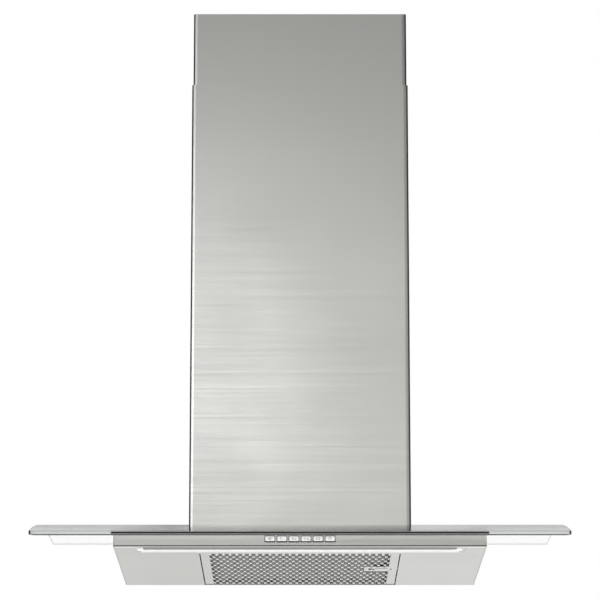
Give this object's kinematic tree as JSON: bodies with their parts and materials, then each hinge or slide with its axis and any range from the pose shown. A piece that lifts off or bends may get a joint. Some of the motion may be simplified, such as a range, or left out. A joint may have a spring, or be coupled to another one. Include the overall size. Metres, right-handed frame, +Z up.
{
  "type": "wall mount range hood",
  "caption": "Wall mount range hood with a curved glass canopy, brushed steel body, telescopic chimney, front push buttons, lamp strip and a hinged grease filter.",
  "frame": {"origin": "midway between the two hanging holes, in the plane of the wall", "axes": "+X to the right along the wall seen from the kitchen, +Y into the wall, +Z up"},
  "size_m": [0.798, 0.5, 0.895],
  "materials": {
    "brushed_steel": "brushed along X",
    "galvanised_steel": "galvanised",
    "zinc_screws": "zinc plated",
    "canopy_glass": "clear toughened glass",
    "black_rubber": "matt",
    "black_plastic": "matt",
    "grey_plastic": "matt",
    "white_plastic": "satin",
    "lens_plastic": "frosted",
    "circuit_board": "solder mask",
    "motor_metal": "turned",
    "capacitor_can": "gloss",
    "filter_aluminium": "plain",
    "latch_steel": "satin"
  },
  "bodies": {
    "hood": {"body_shell": "brushed_steel", "body_top": "brushed_steel", "underside_panel": "brushed_steel", "chimney_lower": "brushed_steel", "box_wrap": "galvanised_steel", "box_back": "galvanised_steel", "box_lid": "galvanised_steel", "hanging_plate": "galvanised_steel", "chimney_clips": "galvanised_steel", "motor_spider": "galvanised_steel", "capacitor_clip": "galvanised_steel", "filter_hinge_lugs": "galvanised_steel", "panel_screws": "zinc_screws", "glass_screws": "zinc_screws", "outlet_screws": "zinc_screws", "glass_canopy": "canopy_glass", "glass_gasket": "black_rubber", "motor_bushes": "black_rubber", "button_carrier": "black_plastic", "button_switches": "black_plastic", "glass_washers": "black_plastic", "blower_housing_left": "black_plastic", "blower_housing_right": "black_plastic", "power_box": "black_plastic", "cable_gland": "black_plastic", "outlet_collar": "grey_plastic", "duct_spigot": "grey_plastic", "light_lens": "lens_plastic", "led_board": "circuit_board", "control_board": "circuit_board", "motor": "motor_metal", "flap_pin": "motor_metal", "run_capacitor": "capacitor_can"},
    "chimney_upper": {"chimney_upper": "brushed_steel", "chimney_bracket": "galvanised_steel", "chimney_screws": "zinc_screws"},
    "filter": {"filter_frame": "filter_aluminium", "filter_outer_net": "filter_aluminium", "filter_core": "filter_aluminium", "filter_latch_plate": "latch_steel", "filter_latch_spring": "latch_steel"},
    "filter_latch": {"filter_latch": "latch_steel"},
    "rotor": {"impeller": "grey_plastic", "motor_shaft": "motor_metal"},
    "flap_left": {"flap_left": "grey_plastic"},
    "flap_right": {"flap_right": "grey_plastic"},
    "button_1": {"button_1": "white_plastic"},
    "button_2": {"button_2": "white_plastic"},
    "button_3": {"button_3": "white_plastic"},
    "button_4": {"button_4": "white_plastic"},
    "button_5": {"button_5": "white_plastic"},
    "button_6": {"button_6": "white_plastic"}
  },
  "joints": [
    {"name": "chimney_slide", "type": "slide", "parent": "hood", "child": "chimney_upper", "axis": [0, 0, 1], "range_m": [-0.07, 0.3]},
    {"name": "filter_hinge", "type": "hinge", "parent": "hood", "child": "filter", "pos_m": [-0.1465, 0, -0.184], "axis": [0, 1, 0], "range_deg": [0, 75]},
    {"name": "filter_latch_slide", "type": "slide", "parent": "filter", "child": "filter_latch", "axis": [-1, 0, 0], "range_m": [0, 0.0036], "stiffness_N_per_m": 400, "springref_m": -0.002},
    {"name": "impeller_spin", "type": "hinge", "parent": "hood", "child": "rotor", "pos_m": [0, -0.112, -0.044], "axis": [-1, 0, 0], "continuous": true},
    {"name": "flap_left_hinge", "type": "hinge", "parent": "hood", "child": "flap_left", "pos_m": [0, -0.15, 0.13005], "axis": [0, 1, 0], "range_deg": [0, 75]},
    {"name": "flap_right_hinge", "type": "hinge", "parent": "hood", "child": "flap_right", "pos_m": [0, -0.15, 0.13005], "axis": [0, -1, 0], "range_deg": [0, 75]},
    {"name": "button_1_push", "type": "slide", "parent": "hood", "child": "button_1", "axis": [0, 1, 0], "range_m": [0, 0.0015], "stiffness_N_per_m": 600, "springref_m": -0.0005},
    {"name": "button_2_push", "type": "slide", "parent": "hood", "child": "button_2", "axis": [0, 1, 0], "range_m": [0, 0.0015], "stiffness_N_per_m": 600, "springref_m": -0.0005},
    {"name": "button_3_push", "type": "slide", "parent": "hood", "child": "button_3", "axis": [0, 1, 0], "range_m": [0, 0.0015], "stiffness_N_per_m": 600, "springref_m": -0.0005},
    {"name": "button_4_push", "type": "slide", "parent": "hood", "child": "button_4", "axis": [0, 1, 0], "range_m": [0, 0.0015], "stiffness_N_per_m": 600, "springref_m": -0.0005},
    {"name": "button_5_push", "type": "slide", "parent": "hood", "child": "button_5", "axis": [0, 1, 0], "range_m": [0, 0.0015], "stiffness_N_per_m": 600, "springref_m": -0.0005},
    {"name": "button_6_push", "type": "slide", "parent": "hood", "child": "button_6", "axis": [0, 1, 0], "range_m": [0, 0.0015], "stiffness_N_per_m": 600, "springref_m": -0.0005}
  ]
}
